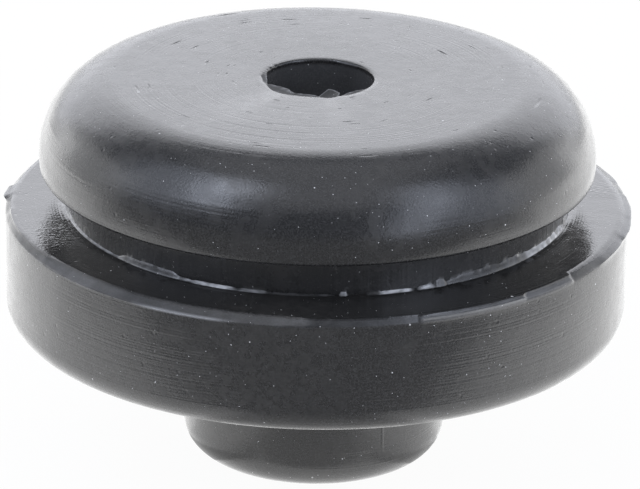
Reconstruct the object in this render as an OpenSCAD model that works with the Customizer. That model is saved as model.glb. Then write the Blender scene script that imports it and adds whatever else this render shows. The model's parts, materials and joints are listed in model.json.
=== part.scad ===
// Moulded rubber mount grommet, one piece.
// From below: a round boss, a thick flange, a groove for a sheet, and a button head with a rolled
// edge, all on one bore. The sheet's hole snaps over the head and closes round the neck.
// Millimetres. The origin is the centre of the boss's end face, and +Z runs up the bore.

/* [Flange] */
// Diameter of the flange, the widest part
flange_d = 50; // [48:0.5:60]
// Thickness of the flange
flange_t = 9.8; // [6:0.1:14]
// Radius on the flange's lower edge
flange_edge_r = 2.2; // [0.5:0.1:2.5]
// Bevel that trimming leaves on the flange's upper edge
trim_bevel = 0.6; // [0.3:0.1:1.2]

/* [Groove] */
// Diameter of the neck, which fills the hole of the sheet
neck_d = 40; // [36:0.5:42]
// Height of the groove, the thickness of the sheet
groove_h = 3.2; // [2:0.1:6]
// Radius in the groove's upper corner
groove_corner_r = 0.5; // [0.2:0.1:0.8]

/* [Button head] */
// Diameter of the flat top
head_flat_d = 32.2; // [30:0.2:34]
// Thickness of the head
head_t = 7.4; // [7:0.1:9]
// Radius of the rolled edge, which turns under a little before it meets the lip
head_edge_r = 6.2; // [6:0.1:6.9]
// Radius on the lip that the sheet snaps past
lip_r = 0.35; // [0.2:0.05:0.6]

/* [Boss] */
// Diameter of the boss
boss_d = 21.2; // [16:0.2:28]
// Height of the boss below the flange
boss_h = 11.2; // [6:0.1:16]
// Radius on the boss's lower edge
boss_edge_r = 2.6; // [0.5:0.1:3]
// Fillet where the boss meets the flange
boss_root_r = 0.8; // [0.3:0.1:2]

/* [Bore] */
// Diameter of the bore, for a plain pin or an 8 mm bolt
bore_d = 8.8; // [6:0.1:11]
// Radius on both mouths of the bore
mouth_r = 0.3; // [0.2:0.05:0.8]

/* [Moulding flash] */
// Thickness of the flash left at the mould's parting line
flash_t = 0.35; // [0.2:0.05:0.5]
// Furthest that the trimmed flash stands out of the flange's rim
flash_w = 0.4; // [0.2:0.05:0.8]
// Radius of the bead of flash at the foot of the neck
neck_flash_r = 0.35; // [0.2:0.05:0.6]

/* [Hidden] */
$fn = 128;

rubber_black = [0.10, 0.10, 0.105];

flange_r = flange_d / 2;
neck_r = neck_d / 2;
boss_r = boss_d / 2;
bore_r = bore_d / 2;
flange_z = boss_h;
flange_top = flange_z + flange_t;
lip_z = flange_top + groove_h;
head_top = lip_z + head_t;

// Centre of the rolled edge's arc, and of the small arc that rounds the lip inside it
head_arc = [head_flat_d / 2, head_top - head_edge_r];
lip_arc_z = lip_z + lip_r;
lip_arc = [head_arc.x + sqrt((head_edge_r - lip_r) ^ 2 - (head_arc.y - lip_arc_z) ^ 2), lip_arc_z];
lip_turn = (lip_arc - head_arc) / norm(lip_arc - head_arc);

// Overlap of a cutter past the face that it cuts
over = 1;

// What hand trimming left of the flash: the start and sweep of each length in degrees, and its share
// of flash_w. Longest at the +X side, with one nub left opposite.
flash_lengths = [
    [-27, 9, 0.5], [-16, 7, 0.8], [-7, 10, 1], [5, 6, 0.7], [13, 12, 0.9], [27, 10, 0.4],
    [84, 22, 0.3], [140, 16, 0.4], [172, 6, 1], [213, 18, 0.3], [290, 21, 0.35],
];

// Space between two square faces and the round that joins them: taken off an outer corner, or added
// in an inner one. The faces run along +X and +Y from the corner, and it runs past both.
module spandrel(r) {
    difference() {
        translate([-over, -over]) square(r + over);
        translate([r, r]) circle(r);
    }
}

module boss_section() {
    difference() {
        square([boss_r, boss_h + over]);
        translate([boss_r, 0]) mirror([1, 0]) spandrel(boss_edge_r);
    }
    translate([boss_r, flange_z]) mirror([0, 1]) spandrel(boss_root_r);
}

module flange_section() {
    difference() {
        translate([0, flange_z]) square([flange_r, flange_t]);
        translate([flange_r, flange_z]) mirror([1, 0]) spandrel(flange_edge_r);
        translate([flange_r, flange_top]) rotate(45)
            square([sqrt(2) * trim_bevel, 3 * trim_bevel], center = true);
    }
}

module neck_section() {
    translate([0, flange_top - over]) square([neck_r, groove_h + 2 * over]);
    translate([neck_r, lip_z]) mirror([0, 1]) spandrel(groove_corner_r);
    translate([neck_r, flange_top]) circle(neck_flash_r);
}

// The round of the rolled edge runs on below its widest point, then the lip's own arc takes it under
module head_section() {
    difference() {
        intersection() {
            union() {
                square([head_arc.x, head_top]);
                translate(head_arc) circle(head_edge_r);
            }
            translate([0, lip_z]) square([flange_d, head_t + over]);
        }
        difference() {
            polygon([lip_arc, lip_arc + [0, -over], lip_arc + [over, -over], lip_arc + over * lip_turn]);
            translate(lip_arc) circle(lip_r);
        }
    }
}

module bore_section() {
    translate([0, -over]) square([bore_r, head_top + 2 * over]);
    translate([bore_r, 0]) spandrel(mouth_r);
    translate([bore_r, head_top]) mirror([0, 1]) spandrel(mouth_r);
}

module rim_flash() {
    for (length = flash_lengths)
        rotate([0, 0, length[0]])
            rotate_extrude(angle = length[1])
                translate([flange_r - trim_bevel - over, flange_top - trim_bevel - flash_t / 2])
                    square([trim_bevel + over + length[2] * flash_w, flash_t]);
}

module grommet() {
    color(rubber_black) {
        rotate_extrude()
            difference() {
                union() {
                    boss_section();
                    flange_section();
                    neck_section();
                    head_section();
                }
                bore_section();
            }
        rim_flash();
    }
}

grommet();
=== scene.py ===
# %% [markdown]
# # A moulded rubber mount grommet
#
# The object is one piece of black rubber, pressed in a steel mould: a boss that drops into a bracket,
# a thick flange, a groove that grips a sheet, and a button head with a rolled edge, all round one bore.
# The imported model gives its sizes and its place. This lesson gives it the look of the real thing: the
# torn flash that the mould left, the turned marks of the steel, and the dust that rubber always gathers.

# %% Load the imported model
import json
import math

import bpy
from mathutils import Matrix, Quaternion, Vector, noise

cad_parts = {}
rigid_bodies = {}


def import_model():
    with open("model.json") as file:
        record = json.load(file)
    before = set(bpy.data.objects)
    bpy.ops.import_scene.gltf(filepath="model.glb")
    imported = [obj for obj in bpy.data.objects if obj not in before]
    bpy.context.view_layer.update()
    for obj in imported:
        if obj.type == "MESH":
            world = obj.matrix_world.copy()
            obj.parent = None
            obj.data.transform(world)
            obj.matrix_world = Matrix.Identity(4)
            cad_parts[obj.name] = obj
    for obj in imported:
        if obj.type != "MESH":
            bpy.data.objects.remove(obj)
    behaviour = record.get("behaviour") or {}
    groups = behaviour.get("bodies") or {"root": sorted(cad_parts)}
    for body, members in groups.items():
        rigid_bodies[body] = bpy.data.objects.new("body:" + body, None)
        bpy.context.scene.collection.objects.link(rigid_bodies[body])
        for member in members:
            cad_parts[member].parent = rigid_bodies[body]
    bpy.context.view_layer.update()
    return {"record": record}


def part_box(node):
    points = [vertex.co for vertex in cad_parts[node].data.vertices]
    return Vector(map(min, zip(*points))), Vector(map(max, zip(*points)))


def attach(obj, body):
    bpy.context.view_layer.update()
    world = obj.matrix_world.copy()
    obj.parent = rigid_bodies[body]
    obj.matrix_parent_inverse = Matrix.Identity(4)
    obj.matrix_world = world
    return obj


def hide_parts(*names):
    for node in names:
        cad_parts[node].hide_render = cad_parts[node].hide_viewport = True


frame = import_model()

MM = 0.001

# %% [markdown]
# ## Sizes from the frame
#
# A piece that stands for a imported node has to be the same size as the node. The record's mounts already
# state most of the radii and heights, so the script reads them there instead of repeating them. Only what
# no mount states is written in the script: the small rounds, and the flange's radius, which is kept a hair
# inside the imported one.

# %% Read the mounts
mounts = {mount["name"]: mount for mount in frame["record"]["mounts"]}
low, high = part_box("grommet")

bore_r = mounts["pin_bore"]["dims"]["r_mm"] * MM
boss_r = mounts["boss"]["dims"]["r_mm"] * MM
neck_r = mounts["panel_groove"]["dims"]["r_mm"] * MM
half_groove = mounts["panel_groove"]["dims"]["length_mm"] * MM / 2
groove_z = mounts["panel_groove"]["pos_m"][2]
flange_z = mounts["flange_seat"]["pos_m"][2]
flange_top = groove_z - half_groove
lip_z = groove_z + half_groove
head_top = high.z
flange_r = 24.99 * MM
print("flange from", flange_z, "to", flange_top, "and head from", lip_z, "to", head_top)

# %% [markdown]
# ## The camera
#
# The photograph was taken from a little above, through a long lens, with the camera turned by about a
# degree. Long lenses flatten an object: the far rim looks almost as wide as the near one. The camera's
# axes are put together from its height angle and its roll, so each number below is one that could be
# read off a tripod.

# %% Set the camera
camera_distance = 412 * MM
camera_height_angle = math.radians(21.65)
camera_roll = math.radians(0.93)
camera_target = Vector((0.31 * MM, 0, 17.29 * MM))
lens_length = 287.4
nearest_seen = 10 * MM

bpy.ops.object.select_all(action="DESELECT")
bpy.ops.object.camera_add()
camera = bpy.context.object
camera.name = "photo_camera"
camera.data.lens = lens_length
camera.data.clip_start = nearest_seen

towards_camera = Vector((0, -math.cos(camera_height_angle), math.sin(camera_height_angle)))
level_right = Vector((1, 0, 0))
level_up = towards_camera.cross(level_right)
turn = Matrix((level_right, level_up, towards_camera)).transposed()
camera.matrix_world = (
    Matrix.Translation(camera_target + camera_distance * towards_camera)
    @ (turn @ Matrix.Rotation(camera_roll, 3, "Z")).to_4x4()
)
bpy.context.scene.camera = camera
print("camera at", [round(value, 4) for value in camera.matrix_world.translation])

# %% [markdown]
# ## Soft studio light
#
# Black rubber has almost no colour of its own, so what the eye reads as its shape is reflection. A long
# panel low behind the object brightens the flat top, which mirrors it towards the camera. Two narrow boxes
# at the front make the soft patches on the rolled edge: they lean a little, and a wide dim screen beside
# each one lets its patch fade out. Walls and corners at the sides draw the pale outline of the head, and a
# panel overhead fills the rest. Each is an area lamp whose power is worked out from how bright its face
# should look.

# %% Hang the lamps
look_at_height = 18 * MM
look_at = Vector((0, 0, look_at_height))


def softbox(name, around, above, distance, width, height, brightness, tint=(1, 1, 1), lean=0):
    """An area lamp that faces the object, placed by angles in degrees: around 0 is the camera's side,
    90 is the object's right, and lean tips the top of the lamp sideways."""
    flat = math.cos(math.radians(above))
    away = Vector((
        flat * math.sin(math.radians(around)),
        -flat * math.cos(math.radians(around)),
        math.sin(math.radians(above)),
    ))
    bpy.ops.object.light_add(type="AREA", location=look_at + away * distance)
    lamp = bpy.context.object
    lamp.name = name
    tip = Quaternion((0, 0, 1), math.radians(lean))
    lamp.rotation_euler = (away.to_track_quat("Z", "Y") @ tip).to_euler()
    lamp.data.shape = "RECTANGLE"
    lamp.data.size = width
    lamp.data.size_y = height
    lamp.data.color = tint
    lamp.data.energy = brightness * math.pi * width * height
    lamp.visible_camera = False
    return lamp


panel_tint = (0.98, 0.99, 1.04)
box_tint = (0.90, 0.97, 1.14)
# name, two angles in degrees, distance, width and height in metres, brightness
softbox("back_panel", 180, 24, 0.70, 1.16, 0.56, 2.32, panel_tint)
softbox("left_box", -51, 47, 0.60, 0.15, 0.42, 4.5, box_tint, lean=10)
softbox("right_box", 47, 27, 0.60, 0.21, 0.82, 2.4, box_tint, lean=-23)
softbox("left_screen", -76, 40, 0.62, 0.40, 0.56, 1.1, box_tint)
softbox("right_screen", 72, 16, 0.62, 0.36, 0.56, 0.9, box_tint)
softbox("left_wall", -110, 15, 0.60, 0.52, 0.32, 1.25)
softbox("right_wall", 110, 15, 0.60, 0.52, 0.32, 1.25)
softbox("left_corner", -132, 6, 0.60, 0.18, 0.22, 2.2)
softbox("right_corner", 132, 6, 0.60, 0.18, 0.22, 1.8)
softbox("top_panel", 0, 79, 0.80, 0.80, 1.30, 0.68, panel_tint)

# %% [markdown]
# ## The glow of the light table
#
# The ground of the photograph is a light table, and every upright face of the rubber mirrors it: brightest
# behind and beside the object, dim in the shadow under the flange. The floor itself will glow no brighter
# than white, so the brighter fields are lamps that lie face up on it, just clear of it and hidden from the
# camera. Beside the boss they come in small steps, because so near, the edge of one bright field would show.

# %% Lay the glowing fields
table_gap = 0.2 * MM
# name, place across and along, width and depth in metres, brightness
table_fields = [
    ("table_behind", 0, 0.225, 0.70, 0.45, 1.2),
    ("table_left", -0.047, -0.020, 0.046, 0.04, 0.95),
    ("table_right", 0.047, -0.020, 0.046, 0.04, 1.05),
    ("table_near_left", -0.0175, -0.020, 0.013, 0.04, 0.8),
    ("table_near_right", 0.0175, -0.020, 0.013, 0.04, 0.8),
    ("table_far_left", -0.24, 0.22, 0.32, 0.34, 0.8),
    ("table_far_right", 0.24, 0.22, 0.32, 0.34, 0.8),
    ("table_under", 0, -0.0065, 0.016, 0.013, 0.8),
]
for name, across, along, width, depth, brightness in table_fields:
    field = softbox(name, 0, -90, look_at_height - table_gap, width, depth, brightness)
    field.location.x, field.location.y = across, along
print("glowing fields:", len(table_fields))

# %% [markdown]
# ## Tools for mixing a finish
#
# A finish is a tree of nodes. Three kinds come up again and again: a sum or product of two values, a fade
# from nothing to all between two limits, and a link that may also be a plain number. A few short functions
# keep the recipes below readable. They add to whichever tree is being mixed.

# %% Write the node tools
# the tree that is being mixed; each finish puts its own here
tree = None


def feed(value, socket):
    """Links another node's output to a socket, or sets the socket to a plain value."""
    if isinstance(value, bpy.types.NodeSocket):
        tree.links.new(value, socket)
    else:
        socket.default_value = value


def math_node(kind, first, second):
    step = tree.nodes.new("ShaderNodeMath")
    step.operation = kind
    feed(first, step.inputs[0])
    feed(second, step.inputs[1])
    return step.outputs[0]


def fade(value, start, end, lowest=0.0):
    """From lowest at start to 1 at end, and level beyond both."""
    ramp = tree.nodes.new("ShaderNodeMapRange")
    ramp.inputs["From Min"].default_value = start
    ramp.inputs["From Max"].default_value = end
    ramp.inputs["To Min"].default_value = lowest
    feed(value, ramp.inputs["Value"])
    return ramp.outputs[0]


print("node tools ready")

# %% [markdown]
# ## White floor
#
# The floor is a large sheet that is white to the camera, with a little real shading mixed in so that it still
# takes the object's shadow. The rubber mirrors the same white table, dimmer towards the camera: a painted
# shadow of the object, as the rubber sees it. To light that bounces, the sheet is ordinary white card. The
# Light Path node tells these rays apart.

# %% Lay the floor
floor_size = 8.0
card_white = (0.86, 0.86, 0.87, 1)
shadow_share = 0.04
front_glow = 0.35
dim_from, white_from = -46 * MM, -18 * MM

floor_white = bpy.data.materials.new("white_floor")
floor_white.use_nodes = True
tree = floor_white.node_tree
tree.nodes.clear()
rays = tree.nodes.new("ShaderNodeLightPath").outputs
seen = rays["Is Camera Ray"]
for kind in ("Is Glossy Ray", "Is Transmission Ray"):
    seen = math_node("MAXIMUM", seen, rays[kind])
floor_place = tree.nodes.new("ShaderNodeSeparateXYZ")
feed(tree.nodes.new("ShaderNodeTexCoord").outputs["Object"], floor_place.inputs[0])
# painted shadow: the table that the rubber mirrors is dimmed towards the camera, where the object's shadow
# falls
glow = fade(floor_place.outputs["Y"], dim_from, white_from, front_glow)
card = tree.nodes.new("ShaderNodeBsdfDiffuse")
card.inputs["Color"].default_value = card_white
white = tree.nodes.new("ShaderNodeEmission")
feed(math_node("MAXIMUM", glow, rays["Is Camera Ray"]), white.inputs["Strength"])
floor_mix = tree.nodes.new("ShaderNodeMixShader")
feed(math_node("MULTIPLY", seen, 1 - shadow_share), floor_mix.inputs["Fac"])
feed(card.outputs[0], floor_mix.inputs[1])
feed(white.outputs[0], floor_mix.inputs[2])
feed(floor_mix.outputs[0], tree.nodes.new("ShaderNodeOutputMaterial").inputs["Surface"])

bpy.ops.object.select_all(action="DESELECT")
bpy.ops.mesh.primitive_plane_add(size=floor_size, location=(0, 0, low.z))
floor = bpy.context.object
floor.name = "floor"
floor.data.materials.append(floor_white)
print("floor", floor_size, "m across")

# %% [markdown]
# ## Backdrop
#
# Beyond the floor the world is white where the camera sees it, and a dim grey room to every other ray, so
# the background adds no light to the object. The Standard view keeps colours as they are written.

# %% Colour the backdrop
room_grey = (0.185, 0.20, 0.235, 1)
wall_white = (1, 1, 1, 1)

world = bpy.data.worlds.new("studio")
world.use_nodes = True
bpy.context.scene.world = world
tree = world.node_tree
room = tree.nodes["Background"]
room.inputs["Color"].default_value = room_grey
wall = tree.nodes.new("ShaderNodeBackground")
wall.inputs["Color"].default_value = wall_white
wall_mix = tree.nodes.new("ShaderNodeMixShader")
feed(tree.nodes.new("ShaderNodeLightPath").outputs["Is Camera Ray"], wall_mix.inputs["Fac"])
feed(room.outputs[0], wall_mix.inputs[1])
feed(wall.outputs[0], wall_mix.inputs[2])
feed(wall_mix.outputs[0], tree.nodes["World Output"].inputs["Surface"])
bpy.context.scene.view_settings.view_transform = "Standard"
print("room at", room_grey[:3])

# %% [markdown]
# ## The moulded body, ring by ring
#
# A turned form can be spun from a section, or grown from one ring: extrude the ring, scale it to the
# next radius, lift it to the next height. Growing it keeps every ring in reach, which matters here,
# because the flash that comes later is made by pushing single rings about.

# %% Write the ring tools
spokes = 960


def start_ring(name, radius, height):
    bpy.ops.object.select_all(action="DESELECT")
    bpy.ops.mesh.primitive_circle_add(vertices=spokes, radius=radius, location=(0, 0, height))
    piece = bpy.context.object
    piece.name = name
    bpy.ops.object.transform_apply(location=True, rotation=True, scale=True)
    bpy.ops.object.mode_set(mode="EDIT")
    bpy.ops.mesh.select_mode(type="EDGE")
    bpy.ops.mesh.select_all(action="SELECT")
    return piece


def grow_ring(from_ring, to_ring):
    (old_radius, old_height), (radius, height) = from_ring, to_ring
    bpy.ops.mesh.extrude_region()
    share = radius / old_radius
    bpy.ops.transform.resize(value=(share, share, 1), center_override=(0, 0, old_height))
    bpy.ops.transform.translate(value=(0, 0, height - old_height))


def arc(centre_radius, centre_height, size, start, end, steps):
    """Rings along an arc of the section; angles in degrees, 0 outwards and 90 up."""
    rings = []
    for step in range(steps + 1):
        angle = math.radians(start + (end - start) * step / steps)
        rings.append((centre_radius + size * math.cos(angle), centre_height + size * math.sin(angle)))
    return rings


print("points on the flange stand", round(math.tau * flange_r / spokes / MM, 2), "mm apart")

# %% [markdown]
# ## The section
#
# The walk along the section starts inside the bore at the bottom, goes out and up over the outside, and
# comes back down the bore. Rounds are arcs, and the rolled edge of the head runs on below its widest point
# to turn under. In three places a group of named rows lies close together: on the flange's rim, at the foot
# of the neck and in the mouth of the bore. They are the rubber that will be torn.

# %% Draw the section
boss_edge = 2.6 * MM
boss_root = 0.8 * MM
flange_edge = 2.2 * MM
trim_bevel = 0.6 * MM
groove_corner = 0.5 * MM
lip_round = 0.35 * MM
head_edge = 6.2 * MM
head_flat_r = 16.1 * MM
mouth_round = 0.3 * MM
head_arc_z = head_top - head_edge
lip_turn_under = math.degrees(math.asin((head_arc_z - lip_z - lip_round) / (head_edge - lip_round)))
lip_arc_r = head_flat_r + (head_edge - lip_round) * math.cos(math.radians(lip_turn_under))

rim_z = flange_top - trim_bevel
rim_rows = {
    "side": (flange_r, rim_z - 0.70 * MM),
    "below": (flange_r, rim_z - 0.34 * MM),
    "foot": (flange_r, rim_z - 0.12 * MM),
    "tip": (flange_r - 0.02 * MM, rim_z + 0.03 * MM),
    "heel": (flange_r - 0.14 * MM, rim_z + 0.15 * MM),
    "cut": (flange_r - 0.38 * MM, rim_z + 0.39 * MM),
    "edge": (flange_r - trim_bevel, flange_top),
    "inside": (flange_r - trim_bevel - 0.35 * MM, flange_top),
}
neck_rows = {
    "apron": (neck_r + 1.0 * MM, flange_top),
    "foot": (neck_r + 0.16 * MM, flange_top + 0.002 * MM),
    "low": (neck_r + 0.12 * MM, flange_top + 0.03 * MM),
    "middle": (neck_r + 0.08 * MM, flange_top + 0.06 * MM),
    "tip": (neck_r + 0.04 * MM, flange_top + 0.09 * MM),
    "crease": (neck_r + 0.01 * MM, flange_top + 0.11 * MM),
    "wall": (neck_r, flange_top + 0.4 * MM),
}
mouth_rows = {
    "rim": (bore_r + 0.5 * MM, head_top),
    "lip": (bore_r + 0.16 * MM, head_top - 0.01 * MM),
    "root": (bore_r + 0.05 * MM, head_top - 0.05 * MM),
    "film": (bore_r + 0.01 * MM, head_top - 0.12 * MM),
    "tip": (bore_r - 0.005 * MM, head_top - 0.20 * MM),
    "under": (bore_r - 0.004 * MM, head_top - 0.30 * MM),
    "wall": (bore_r, head_top - 0.55 * MM),
}
section = (
    [(bore_r + mouth_round, low.z)]
    + arc(boss_r - boss_edge, boss_edge, boss_edge, -90, 0, 12)
    + arc(boss_r + boss_root, flange_z - boss_root, boss_root, 180, 90, 6)
    + arc(flange_r - flange_edge, flange_z + flange_edge, flange_edge, -90, 0, 10)
    + list(rim_rows.values())
    + list(neck_rows.values())
    + arc(neck_r + groove_corner, lip_z - groove_corner, groove_corner, 180, 90, 5)
    + arc(lip_arc_r, lip_z + lip_round, lip_round, -90, -lip_turn_under, 5)
    + arc(head_flat_r, head_arc_z, head_edge, -lip_turn_under, 90, 30)[1:]
    + list(mouth_rows.values())
    + arc(bore_r + mouth_round, mouth_round, mouth_round, 180, 270, 4)[:-1]
)
print("section:", len(section), "rings; the lip turns under by", round(lip_turn_under, 1), "degrees")

# %% [markdown]
# ## Growing and closing
#
# The first ring is a circle, and every further one is an extrusion that is scaled and lifted. After the last
# one the skin is still open where it began, at the lower end of the bore. Bridge Edge Loops joins the two
# open ends, and then all faces are turned outwards.

# %% Grow the rings
body = start_ring("grommet_body", *section[0])
for one, two in zip(section, section[1:]):
    grow_ring(one, two)
bpy.ops.mesh.select_all(action="DESELECT")
bpy.ops.mesh.select_non_manifold()
bpy.ops.mesh.bridge_edge_loops()
bpy.ops.mesh.select_all(action="SELECT")
bpy.ops.mesh.normals_make_consistent(inside=False)
bpy.ops.object.mode_set(mode="OBJECT")
print("body:", len(body.data.polygons), "faces")

# %% [markdown]
# ## Flash: what the mould leaves behind
#
# Where two halves of a mould meet, rubber creeps into the gap and cures there as a thin fin. It is torn
# off by hand, so it never comes away clean. No modifier tears rubber, so the rows kept for it are moved
# point by point: each stretch of flash is one line in a short table, with its start and end in degrees
# from +X, where 270 faces the camera, and noise that repeats exactly on every run makes its edge ragged.
# Two attributes travel with the points: one says how pale the rubber is there, from tears, from dust in the
# bore and, in a few places, from painted highlights, and dull how matt.

# %% Find a ring and read a table
# how far a point may lie from the ring that it belongs to, in metres
near = 3e-6


def ring_points(ring):
    """The body's points on one ring, each with its angle in degrees from +X."""
    radius, height = ring
    for point in body.data.vertices:
        if abs(point.co.z - height) < near and abs(math.hypot(point.co.x, point.co.y) - radius) < near:
            yield point, math.degrees(math.atan2(point.co.y, point.co.x)) % 360


def place(point, angle, radius, height):
    turned = math.radians(angle)
    point.co = (radius * math.cos(turned), radius * math.sin(turned), height)


def ragged(angle, bumps, seed):
    """Noise from about -1 to 1 that runs round the ring and meets itself, with so many bumps in one round.
    Each seed gives another pattern."""
    turned = math.radians(angle)
    spread = bumps / math.tau
    return noise.noise(Vector((spread * math.cos(turned), spread * math.sin(turned), seed)))


def stretch(table, angle, soft):
    """The table's strongest values at an angle; each stretch fades in and out over a share of its length."""
    blended = [0.0] * (len(table[0]) - 2)
    for begin, end, *values in table:
        along = (angle - begin) % 360 / (end - begin)
        share = max(0.0, min(1.0, along / soft, (1 - along) / soft))
        share = share * share * (3 - 2 * share)
        blended = [max(old, share * new, key=abs) for old, new in zip(blended, values)]
    return blended


# paleness from tears and dust, and painted highlight on the neck's ribbon and along the foot of the flange's
# bevel
tear_dust_and_highlight = body.data.attributes.new("tear_dust_and_highlight", "FLOAT", "POINT")
dull = body.data.attributes.new("dull", "FLOAT", "POINT")
print("rings kept for flash:", len(rim_rows) + len(neck_rows) + len(mouth_rows))

# %% [markdown]
# ## The ribbon at the foot of the neck
#
# In the groove the fin was torn off close to the neck, and what is left stands up as a narrow ribbon, pale
# where the tear is fresh and crumpled on the right. Two bright stretches, where the ribbon faces the front
# lamps, are painted highlights. Its rows start almost on top of each other. Each is lifted by its share of
# the ribbon's height, and only the rows above the foot turn pale, so the colour ends where the ribbon does.

# %% Tear the flash at the foot of the neck
# start, end, how far it spreads and how high it stands in mm, how crumpled it is, how pale it is; at 240 to
# 254 and 284 to 293 degrees the paleness is a painted highlight of the front lamps
neck_flash = [
    (183, 196, 0.10, 0.20, 1.0, 0.10), (188, 226, 0.03, 0.05, 0.2, 0.32),
    (219, 240, 0.05, 0.42, 0.25, 0.15), (236, 242, 0.08, 0.12, 0.2, 0.28),
    (240.5, 253.5, 0.10, 0.12, 0.3, 1.0), (252, 260, 0.08, 0.10, 0.3, 0.35),
    (258, 275, 0.03, 0.03, 0.2, 0.08), (275.2, 277.2, 0.06, 0.22, 0.5, 0.40),
    (281, 285, 0.14, 0.16, 0.8, 0.05), (283.6, 292.6, 0.08, 0.12, 0.15, 1.0),
    (292.7, 297.6, 0.12, 0.20, 0.6, 0.50), (296.8, 300.4, 0.14, 0.40, 0.9, 0.14),
    (298, 327, 0.04, 0.48, 0.8, 0.05), (315, 332, 0.08, 0.42, 1.0, 0.12),
    (322, 348, 0.08, 0.34, 1.0, 0.60), (346, 368, 0.12, 0.30, 0.8, 0.20),
    (10, 50, 0.06, 0.40, 0.8, 0.08), (55, 88, 0.10, 0.18, 0.5, 0.30),
    (90, 134, 0.05, 0.45, 0.8, 0.06), (130, 176, 0.10, 0.18, 0.5, 0.25),
]
# each row's share of the ribbon's height
up_the_ribbon = {"foot": 0.0, "low": 0.06, "middle": 0.55, "tip": 1.0, "crease": 1.0}
full_spread = 0.3
for row, ring in neck_rows.items():
    for point, angle in ring_points(ring):
        spread, height, crumple, pale = stretch(neck_flash, angle, 0.2)
        height *= 1 + crumple * (0.30 * ragged(angle, 190, 1.3) + 0.45 * ragged(angle, 70, 2.9))
        radius, level = ring
        if row in up_the_ribbon:
            share = up_the_ribbon[row]
            radius += spread * (1 - share) * MM
            level += height * share * MM
            if row != "crease":
                waves = ragged(angle, 150, 4.1 + 1.7 * share)
                radius += 0.10 * crumple * waves * spread / full_spread * MM
                level += 0.05 * crumple * share * ragged(angle, 210, 9.3 + 2.3 * share) * MM
            if row in ("low", "middle", "tip"):
                # paleness of the tear, and a painted highlight where the ribbon faces the front lamps
                paleness = pale * (0.75 + 0.9 * ragged(angle, 260, 7.7 + share))
                tear_dust_and_highlight.data[point.index].value = max(0.0, paleness)
        if row == "wall":
            level += height * MM
        place(point, angle, radius, level)
print("neck flash:", len(neck_flash), "stretches")

# %% [markdown]
# ## The flange's upper edge
#
# Round the flange the flash was pared away with a knife, which left a bevel: wide and scuffed at the left,
# narrow and clean at the right, with a few fins that it missed. A pale line along the foot of the bevel, at
# the left front, is a painted highlight of the front left lamp. Every row takes its own share of each table,
# so the bevel bends with the knife and the fins grow out of it without a seam.

# %% Trim the flange's upper edge
# start, end, how far the flash stands out in mm
rim_flash = [
    (331, 350, 0.16), (343, 362, 0.30), (352, 372, 0.37), (5, 20, 0.28), (11, 29, 0.36), (24, 39, 0.16),
    (84, 106, 0.10), (140, 156, 0.12), (171, 179, 0.34), (212, 266, 0.03),
]
# start, end, how far in the knife went in mm; less than nothing where it left the edge fuller
knife_cut = [(184, 214, -0.24), (213, 267, 0.30), (266, 308, -0.34)]
# start, end, how far the strip stands out, how far in the knife went, both in mm, how pale the strip is
clean_strip = [(288.7, 310.8, 0.12, -0.48, 0.09), (310.2, 323.4, 0.07, -0.30, 0.05)]
# start, end, how pale the scuffed strip is, how dull it is, how pale the line along its foot is, which is a
# painted highlight of the front left lamp
rim_scuff_and_highlight = [(188, 240, 0.035, 0.5, 0.0), (234, 257, 0.0, 0.1, 0.30)]
# each row's share of how far the flash stands out, of how far it rises, and of the knife's cut
rim_shares = {
    "foot": (0.2, 0.0, 0.0), "tip": (1.0, 0.45, 0.0), "heel": (0.75, 0.45, 0.3),
    "cut": (0.3, 0.1, 0.6), "edge": (0.2, 0.0, 1.0),
}
strip_rise = 0.35
knife_dull = 0.10
for row, ring in rim_rows.items():
    out, rise, back = rim_shares.get(row, (0.0, 0.0, 0.0))
    for point, angle in ring_points(ring):
        stand, = stretch(rim_flash, angle, 0.25)
        cut, = stretch(knife_cut, angle, 0.12)
        strip_stand, strip_cut, pale = stretch(clean_strip, angle, 0.02)
        scuff, scuff_dull, highlight_line = stretch(rim_scuff_and_highlight, angle, 0.3)
        stand = max(stand, strip_stand)
        if strip_cut:
            cut = min(cut, strip_cut)
        radius, level = ring
        radius += (out * stand - back * cut) * MM
        level += rise * stand * MM
        if row in ("tip", "heel"):
            level -= strip_rise * strip_cut * MM
        if row == "tip":
            tear = 0.25 * ragged(angle, 260, 11.3) + 0.8 * ragged(angle, 64, 12.9)
            radius -= stand * max(0.0, 0.15 - 0.4 * tear) * MM
            level += 0.012 * tear * MM
        if row == "cut":
            radius += 0.04 * ragged(angle, 130, 15.1) * MM
        if row == "edge":
            radius += 0.05 * ragged(angle, 90, 14.2) * MM
        place(point, angle, radius, level)
        if row in ("tip", "heel", "cut"):
            paleness = 0.01 + 0.15 * stand + pale + scuff * (1 + ragged(angle, 230, 18.6))
            # the line on the tip row is a painted highlight of the front left lamp
            paleness += highlight_line if row == "tip" else 0.0
            tear_dust_and_highlight.data[point.index].value = paleness + 0.02 * ragged(angle, 150, 16.4)
        if row in ("heel", "cut", "edge"):
            dull.data[point.index].value = max(scuff_dull, knife_dull)
print("rim flash:", len(rim_flash), "stretches")

# %% [markdown]
# ## The film in the bore's mouth
#
# The pin that forms the bore leaves a film across its end, which is punched out. Scraps of it still reach
# into the bore from the rim, nearly level and matt, and beside them the rim is worn and ragged. The same
# rows make both: the film is pulled inwards, and wear pushes the rim outwards.

# %% Tear the film round the bore's mouth
# start, end, how far the film reaches into the bore in mm
mouth_film = [(156, 208, 0.26), (193, 254, 0.76), (224, 284, 0.42), (284, 338, 0.32), (40, 75, 0.06)]
# start, end, how far the rim is worn away in mm
mouth_wear = [(202, 254, 0.28), (268, 292, 0.20)]
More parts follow.
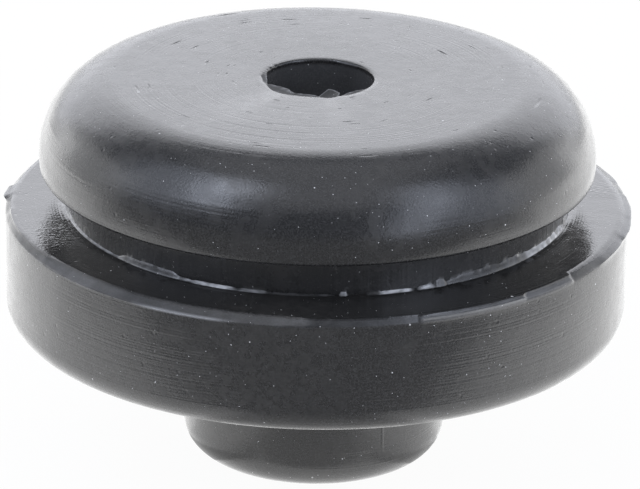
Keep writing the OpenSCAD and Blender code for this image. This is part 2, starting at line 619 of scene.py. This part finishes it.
# start, end, how ragged the rim is in mm
mouth_tear = [(120, 205, 0.10), (205, 330, 0.03)]
whole_film = 0.3
film_pale = {"root": 0.02, "film": 0.02, "tip": 0.15, "under": 0.02}
bore_dust = 0.06
for point in body.data.vertices:
    if math.hypot(point.co.x, point.co.y) < bore_r + near:
        tear_dust_and_highlight.data[point.index].value = bore_dust
for row, ring in mouth_rows.items():
    for point, angle in ring_points(ring):
        reach, = stretch(mouth_film, angle, 0.45)
        wear, = stretch(mouth_wear, angle, 0.4)
        tear, = stretch(mouth_tear, angle, 0.3)
        film = min(1.0, reach / whole_film)
        reach = reach * (1 + 0.12 * ragged(angle, 60, 21.3)) * MM
        radius, level = ring
        if row in ("lip", "root", "film"):
            ripple = 0.3 + ragged(angle, 45, 27.9) + 0.6 * ragged(angle, 110, 29.3)
            radius += (wear + tear * ripple) * (0.5 if row == "film" else 1.0) * MM
        if row == "root":
            level -= (0.05 * film + 0.3 * wear * (1 - film)) * MM
        if row == "film":
            radius, level = radius - 0.5 * reach, level + 0.05 * film * MM
        if row in ("tip", "under"):
            radius, level = radius - reach, level + 0.16 * film * MM
        place(point, angle, radius, level)
        if row in film_pale:
            tear_dust_and_highlight.data[point.index].value = film_pale[row] * film * (1 + 1.4 * ragged(angle, 80, 31.7))
            dull.data[point.index].value = film
print("mouth film:", len(mouth_film), "stretches")

# %% [markdown]
# ## The curl at the mouth
#
# One scrap of the film came away on three sides and curled up, like a leaf whose stalk still hangs on the
# rim. A leaf is a sheet: it starts as a flat grid, whose points are moved to the leaf's outline and then
# sagged along the middle, and Solidify gives the sheet its thickness and closes its edge.

# %% Curl one scrap
curl_cells = (16, 12)
curl_stalk = ((-0.45 * MM, -4.43 * MM), (1.35 * MM, -4.28 * MM))
curl_end = ((1.10 * MM, -2.05 * MM), (1.70 * MM, -2.55 * MM))
curl_round = 0.22
curl_thick = 0.12 * MM
curl_sag = 0.20 * MM
curl_droop = 0.14 * MM
stalk_drop = 0.32 * MM
below_top = 0.04 * MM
edge_share = 0.01

bpy.ops.object.select_all(action="DESELECT")
bpy.ops.mesh.primitive_grid_add(x_subdivisions=curl_cells[0], y_subdivisions=curl_cells[1], size=1)
curl = bpy.context.object
curl.name = "mouth_curl"
on_edge = []
for point in curl.data.vertices:
    across, inward = point.co.x + 0.5, point.co.y + 0.5
    on_edge.append(min(across, 1 - across, 1 - inward) < edge_share)
    rounded = 1 - curl_round * (2 * across - 1) ** 2 * inward
    stalk = Vector(curl_stalk[0]).lerp(Vector(curl_stalk[1]), across)
    end = Vector(curl_end[0]).lerp(Vector(curl_end[1]), across)
    spot = stalk.lerp(end, inward * rounded)
    sag = math.sin(math.pi * across) * curl_sag * (0.35 + 0.65 * inward) + stalk_drop * (1 - inward)
    droop = curl_droop * across * inward
    point.co = (spot.x, spot.y, head_top - below_top - sag - droop)
thicken = curl.modifiers.new("thicken", "SOLIDIFY")
thicken.thickness = curl_thick
thicken.offset = -1
bpy.ops.object.modifier_apply(modifier="thicken")
bpy.ops.object.mode_set(mode="EDIT")
bpy.ops.mesh.select_all(action="SELECT")
bpy.ops.mesh.normals_make_consistent(inside=False)
bpy.ops.object.mode_set(mode="OBJECT")
print("curl:", len(curl.data.polygons), "faces")

# %% Pale the curl's edge
curl_edge_pale = 0.22
curl_dullness = 0.9
curl_torn = curl.data.attributes.new("tear_dust_and_highlight", "FLOAT", "POINT")
curl_dull = curl.data.attributes.new("dull", "FLOAT", "POINT")
# Solidify adds the points of the second face after those of the first, in the same order
for point in curl.data.vertices:
    curl_torn.data[point.index].value = curl_edge_pale if on_edge[point.index % len(on_edge)] else 0.0
    curl_dull.data[point.index].value = curl_dullness
print("edge points:", sum(on_edge), "on each face")

# %% [markdown]
# ## The rubber
#
# Moulded rubber is nearly black and half matt, so its finish is mostly relief and gloss. Every pattern is
# read from the object's own coordinates, in metres, and stays on the surface from any side. Besides the
# place itself, three readings of it come up again: the distance from the axis, the height, and the walk
# along the section, which is the sum of the two.

# %% Start the rubber
rubber_index = 1.6

rubber = bpy.data.materials.new("moulded_rubber")
rubber.use_nodes = True
tree = rubber.node_tree
shader = tree.nodes["Principled BSDF"]
shader.inputs["IOR"].default_value = rubber_index


def vector_node(kind, first, second, output=0):
    step = tree.nodes.new("ShaderNodeVectorMath")
    step.operation = kind
    feed(first, step.inputs[0])
    feed(second, step.inputs[1])
    return step.outputs[output]


surface = tree.nodes.new("ShaderNodeTexCoord").outputs["Object"]
split = tree.nodes.new("ShaderNodeSeparateXYZ")
feed(surface, split.inputs[0])
height_on = split.outputs["Z"]
flat_place = vector_node("MULTIPLY", surface, (1, 1, 0))
from_axis = vector_node("DISTANCE", flat_place, (0, 0, 0), "Value")
print("rubber started, index", rubber_index)

# %% [markdown]
# ## Tools for patterns
#
# Noise gives clouds and grain. Single spots come from the cells of a Voronoi pattern: every cell has a random
# colour, and only cells whose colour lies above a limit hold a spot, the larger the further it lies above.
# Finished patterns are added up, each with its own weight.

# %% Write the pattern tools
def noise_node(scale, detail, along=None, at=surface):
    """Noise in space, or along one value; scale is about how many bumps go into a metre."""
    cloud = tree.nodes.new("ShaderNodeTexNoise")
    cloud.inputs["Scale"].default_value = scale
    cloud.inputs["Detail"].default_value = detail
    if along is None:
        feed(at, cloud.inputs["Vector"])
    else:
        cloud.noise_dimensions = "1D"
        feed(along, cloud.inputs["W"])
    return cloud.outputs["Fac"]


def near_spot(spot, size):
    return fade(vector_node("DISTANCE", surface, spot, "Value"), size, 0.4 * size)


def spots(scale, share, size, at=surface):
    """Above 0 within a round spot and below 0 outside; a share of the cells has one."""
    cells = tree.nodes.new("ShaderNodeTexVoronoi")
    cells.inputs["Scale"].default_value = scale
    feed(at, cells.inputs["Vector"])
    lot = tree.nodes.new("ShaderNodeSeparateColor")
    feed(cells.outputs["Color"], lot.inputs[0])
    reach = math_node("MULTIPLY", math_node("SUBTRACT", lot.outputs[0], 1 - share), size / share)
    return math_node("SUBTRACT", reach, cells.outputs["Distance"])


def weighted_sum(parts):
    total = None
    for pattern, weight in parts:
        weighted = math_node("MULTIPLY", pattern, weight)
        total = weighted if total is None else math_node("ADD", total, weighted)
    return total


print("pattern tools ready")

# %% [markdown]
# ## Marks of the lathe
#
# Rubber copies its mould, so the fine rings that a lathe cut in the steel show on it, in patches where the
# tool chattered. They are noise along the walk, so one pattern makes circles on the flat faces and level
# lines on the upright ones. A few deeper scores lie on the top near the front, and short cuts all over it,
# made by stretching cells round the axis.

# %% Turn the marks
score_spot = ((-4.0 * MM, -11.2 * MM, head_top), 6.5 * MM)
streaked_spots = [
    ((-8.4 * MM, -18.7 * MM, head_top - 1.8 * MM), 8 * MM),
    ((-10.4 * MM, -22.7 * MM, flange_z + 3.2 * MM), 8 * MM),
    ((13.0 * MM, -21.4 * MM, flange_z + 4.0 * MM), 7 * MM),
]
cut_stretch = 2.5 * MM

wander = math_node("MULTIPLY", noise_node(70, 1), 0.4 * MM)
walk = math_node("ADD", math_node("ADD", from_axis, height_on), wander)
chatter = fade(noise_node(95, 1), 0.44, 0.62)
for spot, size in streaked_spots:
    chatter = math_node("MAXIMUM", chatter, near_spot(spot, size))
lathe_rings = math_node("MULTIPLY", noise_node(5600, 1, walk), chatter)
scores = fade(noise_node(1900, 0, from_axis), 0.58, 0.70)
scores = math_node("MULTIPLY", scores, near_spot(*score_spot))
towards_front = math_node("MULTIPLY", split.outputs["Y"], -1.0)
angle_round = math_node("ARCTAN2", split.outputs["X"], towards_front)
round_place = tree.nodes.new("ShaderNodeCombineXYZ")
feed(math_node("MULTIPLY", angle_round, cut_stretch), round_place.inputs["X"])
feed(from_axis, round_place.inputs["Y"])
short_cuts = math_node("MAXIMUM", spots(1500, 0.45, 0.28, round_place.outputs[0]), 0.0)
on_top = fade(height_on, head_top - 0.6 * MM, head_top - 0.1 * MM)
short_cuts = math_node("MULTIPLY", short_cuts, on_top)
print("lathe marks in", len(streaked_spots), "chosen patches and wherever the noise is high")

# %% [markdown]
# ## Grain, drags and knocks
#
# The rest of the relief comes from opening the mould and from handling. In the groove the mould dragged the
# rubber upwards: that is noise whose heights are squeezed, which draws it out into upright streaks. The
# flange is wrinkled in two rubbed patches, the boss has one upright scratch, and grain, shallow dents and
# pits lie everywhere.

# %% Wear the surface
rubbed_spots = [
    ((-20.6 * MM, -8.6 * MM, flange_top), 4.4 * MM),
    ((23.3 * MM, 4.0 * MM, flange_top), 2.6 * MM),
]
scratch_place = (5.55 * MM, -9.03 * MM, 0)
pit_size = 0.10
pit_scale = 520

in_groove = fade(from_axis, neck_r + 0.7 * MM, neck_r + 0.2 * MM)
in_groove = math_node("MULTIPLY", in_groove, fade(height_on, lip_z, lip_z - 0.4 * MM))
above_flash = fade(height_on, flange_top + 0.1 * MM, flange_top + 0.5 * MM)
in_groove = math_node("MULTIPLY", in_groove, above_flash)
squeezed = vector_node("MULTIPLY", surface, (1, 1, 0.08))
drag = math_node("MULTIPLY", noise_node(1700, 2, at=squeezed), in_groove)
scratch = fade(vector_node("DISTANCE", flat_place, scratch_place, "Value"), 0.14 * MM, 0.05 * MM)
scratch = math_node("MULTIPLY", scratch, fade(height_on, flange_z - 3.5 * MM, flange_z - 4.5 * MM))
scratch = math_node("MULTIPLY", scratch, fade(height_on, 2.8 * MM, 3.6 * MM))
rubbed = math_node("ADD", near_spot(*rubbed_spots[0]), near_spot(*rubbed_spots[1]))
wrinkles = math_node("MULTIPLY", noise_node(3200, 3), rubbed)
grain = noise_node(5200, 2)
dents = noise_node(700, 2)
hollows = tree.nodes.new("ShaderNodeTexVoronoi")
hollows.inputs["Scale"].default_value = pit_scale
feed(surface, hollows.inputs["Vector"])
pits = math_node("MAXIMUM", math_node("SUBTRACT", pit_size, hollows.outputs["Distance"]), 0.0)
print("rubbed patches:", len(rubbed_spots))

# %% [markdown]
# ## Relief
#
# All patterns are added up as heights in millimetres, those that are cut in with a minus, and one Bump node
# tilts the surface by the sum. One sum keeps their proportions true, which a chain of Bump nodes would not.

# %% Raise the relief
relief = weighted_sum([
    (lathe_rings, 0.017), (grain, 0.014), (dents, 0.016), (wrinkles, 0.035), (drag, 0.05),
    (scratch, 0.03), (scores, -0.012), (short_cuts, -0.45), (pits, -0.24),
])
bump = tree.nodes.new("ShaderNodeBump")
bump.inputs["Strength"].default_value = 1.0
bump.inputs["Distance"].default_value = MM
feed(relief, bump.inputs["Height"])
feed(bump.outputs["Normal"], shader.inputs["Normal"])
print("relief built, nodes so far:", len(tree.nodes))

# %% [markdown]
# ## Colour
#
# A waxy bloom clouds the black in patches, most of all on the front of the flange, and a fine haze lies over
# everything, thinned on the flange's top as painted shade under the overhanging head. Torn rubber is paler,
# and follows the attribute that the flash has set; the same paleness also paints the lamps' highlights on the
# neck's ribbon and along the foot of the flange's bevel. Dust sticks as single pale specks, and a few of them
# are drawn out to lint by stretching their cells along one slanted direction.

# %% Cloud and dust the black
rubber_black = (0.0136, 0.0133, 0.0131, 1)
bloom_grey = (0.040, 0.038, 0.035, 1)
haze_grey = (0.057, 0.056, 0.055, 1)
# pale grey of torn and dusty rubber, which on the neck's ribbon and the bevel's foot also paints highlights
tear_dust_highlight_grey = (0.740, 0.745, 0.760, 1)
dust_pale = (0.60, 0.59, 0.58, 1)
bloom_spot = ((-4.0 * MM, -24.6 * MM, flange_top - 3.2 * MM), 9 * MM)
lint_turn = (0.6, 0.5, 0.9)


def specks(scale, share, size, at=surface):
    return math_node("GREATER_THAN", spots(scale, share, size, at), 0.0)


def mark(name):
    stored = tree.nodes.new("ShaderNodeAttribute")
    stored.attribute_name = name
    return stored.outputs["Fac"]


def blend(share, under, over):
    mix = tree.nodes.new("ShaderNodeMix")
    mix.data_type = "RGBA"
    feed(share, mix.inputs["Factor"])
    feed(under, mix.inputs["A"])
    feed(over, mix.inputs["B"])
    return mix.outputs["Result"]


tear_dust_highlight_share = mark("tear_dust_and_highlight")
# the flange's top face, where less haze paints the shade under the overhanging head
flange_top_face = fade(height_on, flange_top - 0.2 * MM, flange_top - 0.05 * MM)
flange_top_face = math_node("MULTIPLY", flange_top_face, fade(height_on, flange_top + 0.08 * MM, flange_top + 0.02 * MM))
bloom = math_node("MULTIPLY", fade(noise_node(170, 1), 0.42, 0.62), fade(noise_node(950, 4), 0.42, 0.70))
front_bloom = math_node("MULTIPLY", fade(noise_node(2100, 5), 0.38, 0.74), near_spot(*bloom_spot))
bloom = math_node("MAXIMUM", bloom, math_node("MULTIPLY", front_bloom, 1.3))
# less haze on the flange's top face darkens it: painted shade under the head
haze_share = math_node("SUBTRACT", 0.55, math_node("MULTIPLY", flange_top_face, 0.35))
haze = math_node("MULTIPLY", fade(noise_node(7000, 2), 0.42, 0.74), haze_share)
slanted = tree.nodes.new("ShaderNodeVectorRotate")
slanted.rotation_type = "EULER_XYZ"
slanted.inputs["Rotation"].default_value = lint_turn
feed(surface, slanted.inputs["Vector"])
lint_way = vector_node("MULTIPLY", slanted.outputs[0], (0.10, 1, 1))
dust = math_node("MAXIMUM", specks(820, 0.5, 0.060), specks(2300, 0.7, 0.095))
dust = math_node("MAXIMUM", dust, specks(620, 0.25, 0.05, lint_way))

colour = blend(math_node("MULTIPLY", bloom, 0.55), rubber_black, bloom_grey)
colour = blend(haze, colour, haze_grey)
colour = blend(math_node("MULTIPLY", drag, 0.7), colour, haze_grey)
# paleness of tears and dust, partly a painted highlight of the front lamps
colour = blend(tear_dust_highlight_share, colour, tear_dust_highlight_grey)
colour = blend(dust, colour, dust_pale)
feed(colour, shader.inputs["Base Color"])
print("colour built, nodes so far:", len(tree.nodes))

# %% [markdown]
# ## Gloss
#
# Roughness decides how sharply the black mirrors the lamps. It wavers a little everywhere. Bloom, dust, the
# knife's bevel and the scraps of film raise it, and fresh tears and the top face of the flange lower it.

# %% Set the gloss
moulded_roughness = 0.20
rough = weighted_sum([
    (noise_node(900, 3), 0.12), (bloom, 0.05), (tear_dust_highlight_share, -0.10), (dust, 0.3), (mark("dull"), 0.62),
    (flange_top_face, -0.13),
])
feed(math_node("ADD", rough, moulded_roughness), shader.inputs["Roughness"])
body.data.materials.append(rubber)
curl.data.materials.append(rubber)
print("rubber finish:", len(tree.nodes), "nodes")

# %% [markdown]
# ## Ride, replace and finish
#
# The body stands for the imported node, and the curl hangs on its rim, so both move with the model's only
# body. Smooth shading by angle keeps the rounds soft and the torn edges crisp.

# %% Finish
crisp_angle = math.radians(50)
for piece in (body, curl):
    bpy.ops.object.select_all(action="DESELECT")
    piece.select_set(True)
    bpy.context.view_layer.objects.active = piece
    bpy.ops.object.shade_smooth_by_angle(angle=crisp_angle)
    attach(piece, "root")
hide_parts("grommet")
